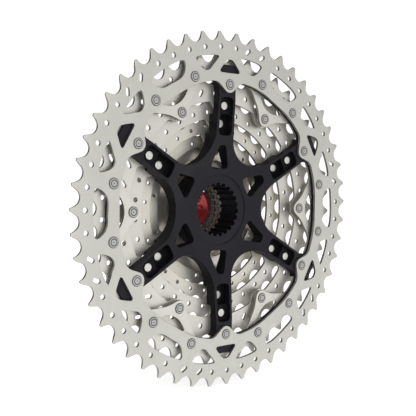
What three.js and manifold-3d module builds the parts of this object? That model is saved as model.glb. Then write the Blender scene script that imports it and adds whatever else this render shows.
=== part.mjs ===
// Rear cassette sprocket set, twelve sprockets on a six-arm spider, millimetres, +Z up.
// The wheel axis is the Y axis.  Y = 0 is the spoke-side face of the largest sprocket and Y grows
// towards the small end and the lockring.  One spider arm points straight up (+Z).
import * as THREE from "three";
import { mergeVertices } from "three/addons/utils/BufferGeometryUtils.js";
import Module from "manifold-3d";

const wasm = await Module();
wasm.setup();

// ---------------------------------------------------------------- driving dimensions (mm)
const CHAIN_PITCH = 12.7;
const ROLLER_R = 3.87; // root circle sits this far inside the pitch circle
const TIP_OVER = 1.6; // tooth tip above the pitch circle
const COG_PITCH = 3.68; // spacing of the sprockets along the axis
const COG_T = 1.75; // sprocket thickness
const GAP = 0.05; // between clamped faces
const TEETH = [51, 45, 39, 33, 28, 24, 21, 18, 16, 14, 12, 10];
// angle of one tooth valley, degrees clockwise from straight up as seen from the spoke side
const VALLEY = [6.35, 7.45, 2.1, 9.0, 12.1, 4.4, 3.0, 8.0, 5.0, 11.0, 7.0, 15.0];

const SPLINES = 23; // freehub splines
const BORE_R = 16.25; // spline root
const BORE_TIP_R = 14.75; // spline crest

const LOBE_R = 74.08; // rivets at the arm ends
const PAIR_R = 80.65; // rivets between the arms, largest sprocket to the next
const PAIR_A = 11.06; // either side of mid-sector, degrees
const TAB_R = 64.5; // rivets in the inward tabs of the second sprocket
const ARM_OUT_R = 61.95; // rivets in the arm pockets
const ARM_IN_R = 51.54;
const PIN_OUT_R = 35.5; // pins of the loose cluster
const PIN_IN_R = 22.3;

const RIVET_HEAD_R = 3.15;
const RIVET_SHANK_R = 1.9;
const HEAD_H = 0.5; // the heads stand this far proud of the largest sprocket
const ARM_HEAD_R = 2.35;
const ARM_SHANK_R = 1.5;

const RIM_R = 82.4; // outer edge of the spider rim
const TIP_R = 85.8; // arm tips
const ARM_BACK_1 = 7.31;
const ARM_BACK_2 = 10.99;
const HUB_BACK = 14.3;
const SLEEVE_R = 25.5; // splined sleeve behind the spider's hub
const SLEEVE_END = 21.6;

const LOCK_TAIL_R = 13.2;
const LOCK_BORE_R = 11.6;
const LOCK_START = 33.6;
const LOCK_FLANGE_R = 15.0;
const LOCK_FACE = 43.45;
const LOCK_END = 45.3;

// ---------------------------------------------------------------- helpers
const D = Math.PI / 180;
const front = (k) => COG_PITCH * k; // spoke-side face of sprocket k
const pitchR = (n) => CHAIN_PITCH / 2 / Math.sin(Math.PI / n);
const rootR = (n) => pitchR(n) - ROLLER_R;
const at = (r, deg) => [r * Math.sin(deg * D), r * Math.cos(deg * D)]; // clockwise from up
const turn = (pts, deg) => {
  const c = Math.cos(deg * D),
    s = Math.sin(deg * D);
  return pts.map(([x, y]) => [x * c + y * s, -x * s + y * c]);
};
const six = (pts) => [0, 1, 2, 3, 4, 5].map((i) => turn(pts, 60 * i));
const area = (p) =>
  p.reduce((s, [x, y], i) => {
    const [a, b] = p[(i + 1) % p.length];
    return s + x * b - a * y;
  }, 0) / 2;
const ccw = (p) => (area(p) < 0 ? p.slice().reverse() : p);
const circle = (x, y, r, n, phase = 0) =>
  Array.from({ length: n }, (_, i) => {
    const a = ((i + phase) / n) * 2 * Math.PI;
    return [x + r * Math.cos(a), y + r * Math.sin(a)];
  });
const ring = (r, n) => circle(0, 0, r, n);
const hole = (r, deg, rad, n = 6) => circle(...at(r, deg), rad / Math.cos(Math.PI / n), n, 0.5);

// Extrudes a flat outline with holes between two stations on the axis.
function plate(outline, holes, y0, y1) {
  const shape = new THREE.Shape(
    ccw(outline).map(([x, y]) => new THREE.Vector2(x, y)),
  );
  for (const h of holes)
    shape.holes.push(
      new THREE.Path(
        ccw(h)
          .slice()
          .reverse()
          .map(([x, y]) => new THREE.Vector2(x, y)),
      ),
    );
  const g = new THREE.ExtrudeGeometry(shape, {
    depth: y1 - y0,
    bevelEnabled: false,
    curveSegments: 1,
  });
  g.rotateX(Math.PI / 2);
  g.translate(0, y1, 0);
  return g;
}
// Turns a closed (r, y) profile about the Y axis.
function turned(profile, n, phase = 0) {
  const pts = profile.map(([r, y]) => new THREE.Vector2(r, y));
  const a = pts.reduce((s, p, i) => {
    const q = pts[(i + 1) % pts.length];
    return s + p.x * q.y - q.x * p.y;
  }, 0);
  if (a < 0) pts.reverse();
  if (Math.abs(pts[0].x) > 1e-9) pts.push(pts[0].clone());
  const g = new THREE.LatheGeometry(pts, n, phase);
  return g;
}
function solid(g) {
  const c = g.clone();
  c.deleteAttribute("normal");
  c.deleteAttribute("uv");
  const m = mergeVertices(c, 1e-4);
  const idx = m.index.array,
    tri = [];
  for (let i = 0; i < idx.length; i += 3)
    if (
      idx[i] !== idx[i + 1] &&
      idx[i + 1] !== idx[i + 2] &&
      idx[i] !== idx[i + 2]
    )
      tri.push(idx[i], idx[i + 1], idx[i + 2]);
  const s = new wasm.Manifold(
    new wasm.Mesh({
      numProp: 3,
      vertProperties: new Float32Array(m.attributes.position.array),
      triVerts: new Uint32Array(tri),
    }),
  );
  return s;
}
function geometry(s) {
  const m = s.getMesh(),
    n = m.numProp,
    v = new Float32Array(m.numVert * 3);
  for (let i = 0; i < m.numVert; i++)
    for (let j = 0; j < 3; j++) v[3 * i + j] = m.vertProperties[n * i + j];
  const g = new THREE.BufferGeometry();
  g.setAttribute("position", new THREE.BufferAttribute(v, 3));
  g.setIndex(new THREE.BufferAttribute(new Uint32Array(m.triVerts), 1));
  return g;
}
const root = new THREE.Group();
root.name = "cassette";
const STEEL = { color: 0xd2d2ca, roughness: 0.42, metalness: 0.85 };
const RIVET = { color: 0xb9bab8, roughness: 0.35, metalness: 0.9 };
const BLACK = { color: 0x24232a, roughness: 0.5, metalness: 0.5 };
const BROWN = { color: 0x4a4540, roughness: 0.6, metalness: 0.2 };
const RED = { color: 0xb3161b, roughness: 0.35, metalness: 0.6 };
function add(name, g, look) {
  const geo = g.index || g.attributes ? g : geometry(g);
  const mesh = new THREE.Mesh(geo, new THREE.MeshStandardMaterial(look));
  mesh.name = name;
  root.add(mesh);
}

// Tooth outline: a pointed tooth either side of each roller valley.
function teeth(n, phase) {
  const rr = rootR(n),
    rt = pitchR(n) + TIP_OVER,
    pts = [];
  for (let i = 0; i < n; i++) {
    const a = phase + (i * 360) / n;
    const v = (2.1 / rr) * (180 / Math.PI);
    pts.push(at(rr + 0.3, a - v), at(rr + 0.3, a + v), at(rt, a + 180 / n));
  }
  return pts;
}
// Splined bore: square-topped splines pointing inwards.
function splines() {
  const pts = [];
  for (let i = 0; i < SPLINES; i++) {
    const a = (i * 360) / SPLINES,
      h = 360 / SPLINES;
    pts.push(
      at(BORE_R, a - 0.3 * h),
      at(BORE_R, a + 0.3 * h),
      at(BORE_TIP_R, a + 0.38 * h),
      at(BORE_TIP_R, a + 0.62 * h),
    );
  }
  return pts;
}

// ---------------------------------------------------------------- shared contours
// Inner contour of the largest sprocket and of the spider rim, half a sector in arm coordinates.
const HALF = [
  [0, 69.23],
  [2.1, 69.7],
  [4.2, 71.3],
  [7.2, 74.0],
  [9.2, 75.05],
  [11.6, 75.42],
  [20.0, 73.7],
  [30.0, 69.75],
];
const mirror30 = (p) => {
  const c = Math.cos(60 * D),
    s = Math.sin(60 * D);
  return [-p[0] * c + p[1] * s, p[0] * s + p[1] * c];
};
function innerContour() {
  const sector = [
    ...HALF,
    [37.75, 65.38],
    ...HALF.slice(1).reverse().map(mirror30),
  ];
  return [0, 1, 2, 3, 4, 5].flatMap((i) => turn(sector, 60 * i));
}
const CUT_ARM = [
  [-6.9, 80.95],
  [6.9, 80.95],
  [7.4, 82.1],
  [2.2, 88.4],
  [-2.2, 88.4],
  [-7.4, 82.1],
];
const CUT_SIDE = [
  [8.9, 90.0],
  [23.6, 88.1],
  [25.3, 86.6],
  [23.3, 83.8],
  [20.0, 81.3],
  [16.0, 81.2],
  [12.5, 84.7],
];
const CUT_MID_HALF = [
  [44.4, 80.1],
  [34.8, 84.45],
  [33.0, 83.4],
  [32.8, 80.0],
  [35.8, 74.8],
];
const CUT_MID = [
  ...CUT_MID_HALF,
  ...CUT_MID_HALF.slice(1).reverse().map(mirror30),
];
const PAIRS = [0, 1, 2, 3, 4, 5].flatMap((i) => [
  60 * i + 30 - PAIR_A,
  60 * i + 30 + PAIR_A,
]);
const ARMS = [0, 60, 120, 180, 240, 300];
const MIDS = ARMS.map((a) => a + 30);

// A ring contour at radius r with round lobes reaching inwards at the given angles.
function lobed(r, lobes, n) {
  const pts = [];
  for (let i = 0; i < n; i++) {
    const a = (i * 360) / n;
    let rad = r;
    for (const [deg, depth, half] of lobes) {
      const d = Math.abs(((a - deg + 540) % 360) - 180);
      if (d < half)
        rad = Math.min(
          rad,
          r - depth * Math.min(1, 1.55 * Math.cos((d / half) * 90 * D)),
        );
    }
    pts.push(at(rad, a));
  }
  return pts;
}

// ---------------------------------------------------------------- 51 teeth
add(
  "sprocket_51",
  plate(
    teeth(51, VALLEY[0]),
    [
      innerContour(),
      ...six(CUT_ARM),
      ...six(CUT_SIDE),
      ...six(CUT_SIDE.map(mirror30)),
      ...six(CUT_MID),
      ...ARMS.map((a) => hole(LOBE_R, a, RIVET_SHANK_R + 0.05)),
      ...PAIRS.map((a) => hole(PAIR_R, a, RIVET_SHANK_R + 0.05)),
    ],
    0,
    COG_T,
  ),
  STEEL,
);

// ---------------------------------------------------------------- 45 teeth, with riveted tabs
function tabbed() {
  // (radial, sideways) about mid-sector
  const half = [
    [59.5, 0],
    [60.6, 2.9],
    [63.3, 5.0],
    [67.2, 8.6],
    [70.0, 12.9],
    [72.6, 17.0],
    [73.9, 20.4],
  ];
  const uv = ([u, v]) => [u * 0.5 + v * (Math.sqrt(3) / 2), u * (Math.sqrt(3) / 2) - v * 0.5];
  const full = [
    ...half.slice(1).reverse().map(([u, v]) => uv([u, -v])),
    ...half.map(uv),
  ];
  return ARMS.flatMap((a) => [...turn([at(76.4, 0)], a), ...turn(full, a)]);
}
const HALF_MOON = (() => {
  const uv = ([u, v]) => [u * 0.5 + v * (Math.sqrt(3) / 2), u * (Math.sqrt(3) / 2) - v * 0.5];
  return [
    [73.9, -9.7],
    [71.2, -5.2],
    [70.1, 0],
    [71.2, 5.2],
    [73.9, 9.7],
    [76.2, 5.0],
    [76.2, -5.0],
  ].map(uv);
})();
add(
  "sprocket_45",
  plate(
    teeth(45, VALLEY[1]),
    [
      tabbed(),
      ...six(HALF_MOON),
      ...PAIRS.map((a) => hole(PAIR_R, a, RIVET_SHANK_R + 0.05)),
      ...MIDS.map((a) => hole(TAB_R, a, RIVET_SHANK_R + 0.05)),
    ],
    front(1),
    front(1) + COG_T,
  ),
  STEEL,
);

// ---------------------------------------------------------------- 39 and 33 teeth
add(
  "sprocket_39",
  plate(
    teeth(39, VALLEY[2]),
    [
      lobed(
        64.6,
        [
          ...ARMS.map((a) => [a, 6.95, 7]),
          ...MIDS.map((a) => [a, 4.6, 6]),
          [360, 6.95, 7],
        ],
        90,
      ),
      ...ARMS.map((a) => hole(ARM_OUT_R, a, ARM_SHANK_R + 0.05)),
      ...MIDS.map((a) => hole(TAB_R, a, RIVET_SHANK_R + 0.05)),
    ],
    front(2),
    front(2) + COG_T,
  ),
  STEEL,
);
add(
  "sprocket_33",
  plate(
    teeth(33, VALLEY[3]),
    [
      lobed(54.3, [...ARMS.map((a) => [a, 7.4, 9]), [360, 7.4, 9]], 72),
      ...ARMS.map((a) => hole(ARM_IN_R, a, ARM_SHANK_R + 0.05)),
    ],
    front(3),
    front(3) + COG_T,
  ),
  STEEL,
);

// ---------------------------------------------------------------- loose cluster, 28 to 14 teeth
const PINS = [0, 120, 240];
const PINS_IN = [60, 180, 300];
const PIN_R = 1.3;
add(
  "sprocket_28",
  plate(
    teeth(28, VALLEY[4]),
    [
      lobed(46.0, [...PINS.map((a) => [a, 13.2, 11]), [360, 13.2, 11]], 72),
      ...PINS.map((a) => hole(PIN_OUT_R, a, PIN_R + 0.05)),
    ],
    front(4),
    front(4) + COG_T,
  ),
  STEEL,
);
add(
  "sprocket_24",
  plate(
    teeth(24, VALLEY[5]),
    [
      lobed(38.2, [...PINS.map((a) => [a, 5.4, 11]), [360, 5.4, 11]], 60),
      ...PINS.map((a) => hole(PIN_OUT_R, a, PIN_R + 0.05)),
    ],
    front(5),
    front(5) + COG_T,
  ),
  STEEL,
);
const WEB = (r0, r1, half) => [
  at(r0, -half),
  at(r0, half),
  at(r1, half * 0.86),
  at(r1 + 0.5, 0),
  at(r1, -half * 0.86),
];
// The 21-tooth sprocket has a splined collar that fills the bore between the sleeve and the next one.
function sprocket21() {
  const disc = solid(
    plate(
      teeth(21, VALLEY[6]),
      [
        ...[30, 90, 150, 210, 270, 330].map((a) => turn(WEB(25.4, 31.5, 19), a)),
        ...PINS.map((a) => hole(PIN_OUT_R, a, PIN_R + 0.05)),
        ...PINS_IN.map((a) => hole(PIN_IN_R, a, PIN_R + 0.05)),
      ],
      front(6),
      front(6) + COG_T,
    ),
  );
  const collar = solid(plate(ring(20.0, 32), [], SLEEVE_END + GAP, front(7) - GAP));
  return disc.add(collar).subtract(solid(plate(splines(), [], 10, 40)));
}
add("sprocket_21", sprocket21(), STEEL);
for (const [k, n] of [
  [7, 18],
  [8, 16],
  [9, 14],
])
  add(
    "sprocket_" + n,
    plate(
      teeth(n, VALLEY[k]),
      [
        splines(),
        ...PINS_IN.map((a) => hole(PIN_IN_R, a, PIN_R + 0.05)),
        ...(n === 18 ? [0, 120, 240].map((a) => hole(27.2, a, 2.2)) : []),
      ],
      front(k),
      front(k) + COG_T,
    ),
    STEEL,
  );
for (const [k, name] of [
  [7, "spacer_18_16"],
  [8, "spacer_16_14"],
])
  add(
    name,
    plate(
      ring(20.6, 24),
      [ring(BORE_R + 0.1, 24)],
      front(k) + COG_T + GAP,
      front(k + 1) - GAP,
    ),
    BROWN,
  );

// ---------------------------------------------------------------- loose 12 and 10 tooth sprockets
function smallCog(n, k, hub, boreShape) {
  const disc = solid(plate(teeth(n, VALLEY[k]), [], front(k), front(k) + COG_T));
  const collar = solid(
    plate(ring(hub, 24), [], front(k - 1) + COG_T + 0.2, front(k) + 0.1),
  );
  const cut = solid(plate(boreShape, [], front(k) - 10, front(k) + 10));
  return disc.add(collar).subtract(cut);
}
add("sprocket_12", smallCog(12, 10, 18.6, splines()), STEEL);
add("sprocket_10", smallCog(10, 11, 15.9, ring(LOCK_TAIL_R + 1.3, 32)), STEEL);

// ---------------------------------------------------------------- spider
function opening() {
  const arc = [];
  const c = 53,
    rho = 19.7;
  const uv = ([u, v]) => [u * 0.5 + v * (Math.sqrt(3) / 2), u * (Math.sqrt(3) / 2) - v * 0.5];
  for (let i = -3; i <= 3; i++) {
    const a = (180 + i * 18.9) * D;
    arc.push(uv([c + rho * Math.cos(a), -rho * Math.sin(a)]));
  }
  // arc runs from the left-hand arm to the right-hand arm; then the rim contour back
  const rim = [
    [6.15, 70.2],
    [6.5, 73.1],
    ...HALF.slice(3),
    [37.75, 65.38],
    ...HALF.slice(3).reverse().map(mirror30),
    mirror30([6.5, 73.1]),
    mirror30([6.15, 70.2]),
  ];
  const first = arc[0],
    left = first[0] < arc[arc.length - 1][0];
  return [...(left ? arc : arc.slice().reverse()), ...rim.slice().reverse()];
}
const tips = six([
  [-7.6, 78],
  [7.6, 78],
  [7.6, 85.0],
  [6.8, TIP_R],
  [-6.8, TIP_R],
  [-7.6, 85.0],
]);
function spider() {
  let flat = solid(plate(ring(RIM_R, 48), six(opening()), 0, 40));
  for (const t of tips) flat = flat.add(solid(plate(t, [], 0, 40)));
  const dish = solid(
    turned(
      [
        [0, 9.3],
        [21.3, 9.3],
        [21.3, 8.7],
        [29, 8.0],
        [45, 3.6],
        [66, COG_T + GAP],
        [92, COG_T + GAP],
        [92, front(1) - GAP],
        [75.2, front(1) - GAP],
        [75.2, ARM_BACK_1],
        [57.3, ARM_BACK_1],
        [57.3, ARM_BACK_2],
        [46.3, ARM_BACK_2],
        [46.3, HUB_BACK],
        [0, HUB_BACK],
      ],
      24,
      Math.PI / 24,
    ),
  );
  let s = flat.intersect(dish);
  const cuts = [plate(splines(), [], 0, 40)];
  for (const a of ARMS) {
    // stepped rivet pocket, then the window nearer the hub
    const outer = [
      [-4.9, 56.5],
      [4.9, 56.5],
      [4.9, 64.8],
      [3.2, 66.8],
      [-3.2, 66.8],
      [-4.9, 64.8],
    ];
    const inner = [
      [-3.4, 44.3],
      [3.4, 44.3],
      [4.9, 46],
      [4.9, 57.1],
      [-4.9, 57.1],
      [-4.9, 46],
    ];
    const window = [
      [-5.0, 24.7],
      [5.0, 24.7],
      [6.5, 26.6],
      [2.8, 37.4],
      [1.2, 38.6],
      [-1.2, 38.6],
      [-2.8, 37.4],
      [-6.5, 26.6],
    ];
    cuts.push(plate(turn(outer, a), [], -1, 5.1));
    cuts.push(plate(turn(inner, a), [], -1, 8.8));
    cuts.push(plate(turn(window, a), [], -1, 40));
    cuts.push(plate(hole(LOBE_R, a, RIVET_SHANK_R + 0.05), [], -1, 7.0));
    cuts.push(plate(hole(ARM_OUT_R, a, ARM_SHANK_R + 0.05), [], -1, 40));
    cuts.push(plate(hole(ARM_IN_R, a, ARM_SHANK_R + 0.05), [], -1, 40));
  }
  for (const a of PAIRS)
    cuts.push(plate(hole(PAIR_R, a, RIVET_SHANK_R + 0.05), [], -1, 40));
  for (const c of cuts) s = s.subtract(solid(c));
  return s;
}
add("spider", spider(), BLACK);
add(
  "spider_sleeve",
  plate(ring(SLEEVE_R, 48), [splines()], HUB_BACK + GAP, SLEEVE_END),
  BLACK,
);

// ---------------------------------------------------------------- rivets and pins
// stations: [radius, y] pairs turned about the rivet's own axis
function rivet(name, r, deg, profile, look = RIVET) {
  const g = turned(profile, 6);
  const [x, z] = at(r, deg);
  g.translate(x, 0, z);
  add(name, g, look);
}
const EPS = 0.06;
ARMS.forEach((a, i) =>
  rivet("rivet_arm_end_" + (i + 1), LOBE_R, a, [
    [0, -HEAD_H],
    [RIVET_HEAD_R, -HEAD_H],
    [RIVET_HEAD_R, -EPS],
    [RIVET_SHANK_R, -EPS],
    [RIVET_SHANK_R, 6.9],
    [0, 6.9],
  ]),
);
PAIRS.forEach((a, i) =>
  rivet("rivet_rim_" + (i + 1), PAIR_R, a, [
    [0, -HEAD_H],
    [RIVET_HEAD_R, -HEAD_H],
    [RIVET_HEAD_R, -EPS],
    [RIVET_SHANK_R, -EPS],
    [RIVET_SHANK_R, front(1) + COG_T + EPS],
    [2.6, front(1) + COG_T + EPS],
    [2.6, front(1) + COG_T + 0.75],
    [0, front(1) + COG_T + 0.75],
  ]),
);
MIDS.forEach((a, i) =>
  rivet("rivet_tab_" + (i + 1), TAB_R, a, [
    [0, front(1) - 0.55],
    [RIVET_HEAD_R, front(1) - 0.55],
    [RIVET_HEAD_R, front(1) - EPS],
    [RIVET_SHANK_R, front(1) - EPS],
    [RIVET_SHANK_R, front(1) + COG_T + EPS],
    [3.0, front(1) + COG_T + EPS],
    [3.0, front(2) - EPS],
    [RIVET_SHANK_R, front(2) - EPS],
    [RIVET_SHANK_R, front(2) + COG_T + EPS],
    [2.6, front(2) + COG_T + EPS],
    [2.6, front(2) + COG_T + 0.7],
    [0, front(2) + COG_T + 0.7],
  ]),
);
const ARM_SETS = [
  ["rivet_arm_outer_", ARM_OUT_R, 4.66, 5.1, front(2) + COG_T],
  ["rivet_arm_inner_", ARM_IN_R, 8.34, 8.8, front(3) + COG_T],
];
for (const [name, r, y0, seat, back] of ARM_SETS)
  ARMS.forEach((a, i) =>
    rivet(name + (i + 1), r, a, [
      [0, y0],
      [ARM_HEAD_R, y0],
      [ARM_HEAD_R, seat - EPS],
      [ARM_SHANK_R, seat - EPS],
      [ARM_SHANK_R, back + EPS],
      [2.2, back + EPS],
      [2.2, back + 0.65],
      [0, back + 0.65],
    ]),
  );
PINS.forEach((a, i) =>
  rivet("pin_outer_" + (i + 1), PIN_OUT_R, a, [
    [0, front(4) - 0.3],
    [PIN_R, front(4) - 0.3],
    [PIN_R, front(4) + COG_T + EPS],
    [2.2, front(4) + COG_T + EPS],
    [2.2, front(5) - EPS],
    [PIN_R, front(5) - EPS],
    [PIN_R, front(5) + COG_T + EPS],
    [2.2, front(5) + COG_T + EPS],
    [2.2, front(6) - EPS],
    [PIN_R, front(6) - EPS],
    [PIN_R, front(6) + COG_T + 0.3],
    [0, front(6) + COG_T + 0.3],
  ]),
);
PINS_IN.forEach((a, i) =>
  rivet("pin_inner_" + (i + 1), PIN_IN_R, a, [
    [0, front(6) - 0.3],
    [PIN_R, front(6) - 0.3],
    [PIN_R, front(6) + COG_T + EPS],
    [1.85, front(6) + COG_T + EPS],
    [1.85, front(7) - EPS],
    [PIN_R, front(7) - EPS],
    [PIN_R, front(9) + COG_T + 0.1],
    [0, front(9) + COG_T + 0.1],
  ]),
);

// ---------------------------------------------------------------- lock washer and lockring
add(
  "lock_washer",
  plate(
    ring(15.4, 24),
    [ring(LOCK_TAIL_R + 0.4, 24)],
    front(11) + COG_T + 0.3,
    LOCK_FACE - 0.25,
  ),
  STEEL,
);
function lockring() {
  const body = solid(
    turned(
      [
        [LOCK_BORE_R, LOCK_START],
        [LOCK_TAIL_R, LOCK_START],
        [LOCK_TAIL_R, LOCK_FACE],
        [LOCK_FLANGE_R, LOCK_FACE],
        [LOCK_FLANGE_R, LOCK_END],
        [LOCK_BORE_R, LOCK_END],
      ],
      32,
    ),
  );
  // tool splines: twelve teeth pointing inwards near the outer end
  let s = body;
  for (let i = 0; i < 12; i++) {
    const t = [
      at(10.6, -4.5),
      at(10.6, 4.5),
      at(LOCK_BORE_R + 0.6, 6),
      at(LOCK_BORE_R + 0.6, -6),
    ];
    s = s.add(solid(plate(turn(t, 30 * i), [], 39.5, LOCK_END - 0.6)));
  }
  return s;
}
add("lockring", lockring(), RED);

export default root;
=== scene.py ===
import math

import bmesh
import bpy
import numpy as np
from mathutils import Matrix, Vector
from mathutils.geometry import delaunay_2d_cdt


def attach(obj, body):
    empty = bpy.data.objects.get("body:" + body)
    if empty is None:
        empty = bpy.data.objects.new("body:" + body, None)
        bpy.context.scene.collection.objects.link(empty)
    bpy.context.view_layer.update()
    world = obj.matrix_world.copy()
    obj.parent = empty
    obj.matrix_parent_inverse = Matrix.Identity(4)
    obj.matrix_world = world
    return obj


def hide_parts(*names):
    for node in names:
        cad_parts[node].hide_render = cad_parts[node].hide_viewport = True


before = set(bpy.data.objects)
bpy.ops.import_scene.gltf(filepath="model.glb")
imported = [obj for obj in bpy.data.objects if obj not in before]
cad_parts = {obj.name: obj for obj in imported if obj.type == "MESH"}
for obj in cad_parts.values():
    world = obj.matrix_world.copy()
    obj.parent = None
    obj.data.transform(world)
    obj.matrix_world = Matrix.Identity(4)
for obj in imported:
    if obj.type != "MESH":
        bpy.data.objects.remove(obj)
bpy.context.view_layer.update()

# ------------------------------------------------------------------ dimensions, millimetres
# Flat outlines are drawn in (x, z); y is the depth from the largest sprocket's face.
PITCH = 12.7
ROLLER = 3.87
TIP = 1.55
STEP = 3.68
THICK = 1.75
TEETH = [51, 45, 39, 33, 28, 24, 21, 18, 16, 14, 12, 10]
VALLEY = [6.35, 7.45, 2.1, 9.0, 12.1, 4.4, 3.0, 8.0, 5.0, 11.0, 7.0, 15.0]
ARMS = [0, 60, 120, 180, 240, 300]
MIDS = [30, 90, 150, 210, 270, 330]
PAIRS = [m + s for m in MIDS for s in (-11.06, 11.06)]
LOBE_R, PAIR_R, TAB_R, ARM_OUT_R, ARM_IN_R = 74.08, 80.65, 64.5, 61.95, 51.54
PIN_OUT_R, PIN_IN_R = 35.5, 22.3
BORE_R, BORE_TIP_R = 16.22, 14.78
D = math.pi / 180


def front(k):
    return STEP * k


def pitch_r(n):
    return PITCH / 2 / math.sin(math.pi / n)


def at(r, deg):
    return np.array([r * math.sin(deg * D), r * math.cos(deg * D)])


def turn(pts, deg):
    p = np.asarray(pts, float).reshape(-1, 2)
    c, s = math.cos(deg * D), math.sin(deg * D)
    return np.stack([p[:, 0] * c + p[:, 1] * s, -p[:, 0] * s + p[:, 1] * c], 1)


def mirror30(pts):
    p = np.asarray(pts, float).reshape(-1, 2)
    c, s = math.cos(60 * D), math.sin(60 * D)
    return np.stack([-p[:, 0] * c + p[:, 1] * s, p[:, 0] * s + p[:, 1] * c], 1)[::-1]


def uv30(pts):
    """(radial, sideways) about the 30 degree line to arm coordinates."""
    p = np.asarray(pts, float)
    u, v = p[:, 0], p[:, 1]
    q = math.sqrt(3) / 2
    return np.stack([u * 0.5 + v * q, u * q - v * 0.5], 1)


def circle(cx, cy, r, n, phase=0.0):
    a = (np.arange(n) + phase) / n * 2 * math.pi
    return np.stack([cx + r * np.cos(a), cy + r * np.sin(a)], 1)


def ring(r, n):
    return circle(0, 0, r, n, 0.25)


def dot_hole(r, deg, rad, n=16):
    x, z = at(r, deg)
    return circle(x, z, rad, n)


def slot_hole(r, deg, rad, half, tilt, n=8):
    """Elongated hole, its long axis tilted from the clockwise direction towards outwards."""
    a = np.linspace(-90, 90, n) * D
    e = np.concatenate(
        [
            np.stack([half + rad * np.cos(a), rad * np.sin(a)], 1),
            np.stack([-half - rad * np.cos(a), -rad * np.sin(a)], 1),
        ]
    )
    c, s = math.cos(tilt * D), math.sin(tilt * D)
    e = np.stack([e[:, 0] * c - e[:, 1] * s, e[:, 0] * s + e[:, 1] * c + r], 1)
    return turn(e, deg)


def smooth(pts, per=6):
    """Closed curve through the points."""
    p = np.asarray(pts, float)
    n = len(p)
    out = []
    for i in range(n):
        p0, p1, p2, p3 = p[i - 1], p[i], p[(i + 1) % n], p[(i + 2) % n]
        t0 = 0.0
        t1 = t0 + max(np.linalg.norm(p1 - p0), 1e-6) ** 0.5
        t2 = t1 + max(np.linalg.norm(p2 - p1), 1e-6) ** 0.5
        t3 = t2 + max(np.linalg.norm(p3 - p2), 1e-6) ** 0.5
        for j in range(per):
            t = t1 + (t2 - t1) * j / per
            a1 = (t1 - t) / (t1 - t0) * p0 + (t - t0) / (t1 - t0) * p1
            a2 = (t2 - t) / (t2 - t1) * p1 + (t - t1) / (t2 - t1) * p2
            a3 = (t3 - t) / (t3 - t2) * p2 + (t - t2) / (t3 - t2) * p3
            b1 = (t2 - t) / (t2 - t0) * a1 + (t - t0) / (t2 - t0) * a2
            b2 = (t3 - t) / (t3 - t1) * a2 + (t - t1) / (t3 - t1) * a3
            out.append((t2 - t) / (t2 - t1) * b1 + (t - t1) / (t2 - t1) * b2)
    return np.array(out)


def area(p):
    x, y = p[:, 0], p[:, 1]
    return 0.5 * float(np.sum(x * np.roll(y, -1) - np.roll(x, -1) * y))


def ccw(p):
    return p[::-1].copy() if area(p) < 0 else p


def dedupe(p, tol=0.02):
    keep = [p[0]]
    for q in p[1:]:
        if np.hypot(*(q - keep[-1])) > tol:
            keep.append(q)
    if np.hypot(*(keep[0] - keep[-1])) < tol:
        keep.pop()
    return np.array(keep)


def inset(p, d):
    """Moves a counter-clockwise loop to its left, into the area it encloses, by d."""
    a = p - np.roll(p, 1, 0)
    b = np.roll(p, -1, 0) - p
    a /= np.linalg.norm(a, axis=1)[:, None]
    b /= np.linalg.norm(b, axis=1)[:, None]
    na = np.stack([-a[:, 1], a[:, 0]], 1)
    nb = np.stack([-b[:, 1], b[:, 0]], 1)
    m = na + nb
    k = 1 + np.sum(na * nb, 1)
    return p + m * (d / np.maximum(k, 0.5))[:, None]


def inside(pts, loop):
    """Even-odd test of many points against one loop."""
    lo, hi = loop.min(0), loop.max(0)
    res = np.zeros(len(pts), bool)
    idx = np.nonzero(
        (pts[:, 0] > lo[0]) & (pts[:, 0] < hi[0]) & (pts[:, 1] > lo[1]) & (pts[:, 1] < hi[1])
    )[0]
    if len(idx) == 0:
        return res
    q = np.roll(loop, -1, 0)
    for s in range(0, len(idx), 2000):
        sub = idx[s : s + 2000]
        x = pts[sub, 0][:, None]
        y = pts[sub, 1][:, None]
        c = (loop[:, 1][None] > y) != (q[:, 1][None] > y)
        dy = q[:, 1] - loop[:, 1]
        dy = np.where(np.abs(dy) < 1e-12, 1e-12, dy)
        xi = loop[:, 0] + (y - loop[:, 1]) * (q[:, 0] - loop[:, 0]) / dy
        res[sub] = (np.sum(c & (x < xi), 1) % 2) == 1
    return res


# ------------------------------------------------------------------ meshes
COLL = bpy.context.scene.collection


def make_object(name, verts_mm, faces, sharp=50, weld=True):
    me = bpy.data.meshes.new(name)
    me.from_pydata([tuple(v) for v in np.asarray(verts_mm) * 0.001], [], faces)
    me.validate()
    bm = bmesh.new()
    bm.from_mesh(me)
    if weld:
        bmesh.ops.remove_doubles(bm, verts=bm.verts, dist=2e-6)
    bmesh.ops.recalc_face_normals(bm, faces=bm.faces)
    bm.to_mesh(me)
    bm.free()
    for p in me.polygons:
        p.use_smooth = True
    me.set_sharp_from_angle(angle=sharp * D)
    ob = bpy.data.objects.new(name, me)
    COLL.objects.link(ob)
    mod = ob.modifiers.new("weighted", "WEIGHTED_NORMAL")
    mod.mode = "FACE_AREA"
    mod.weight = 60
    mod.keep_sharp = True
    return ob


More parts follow.
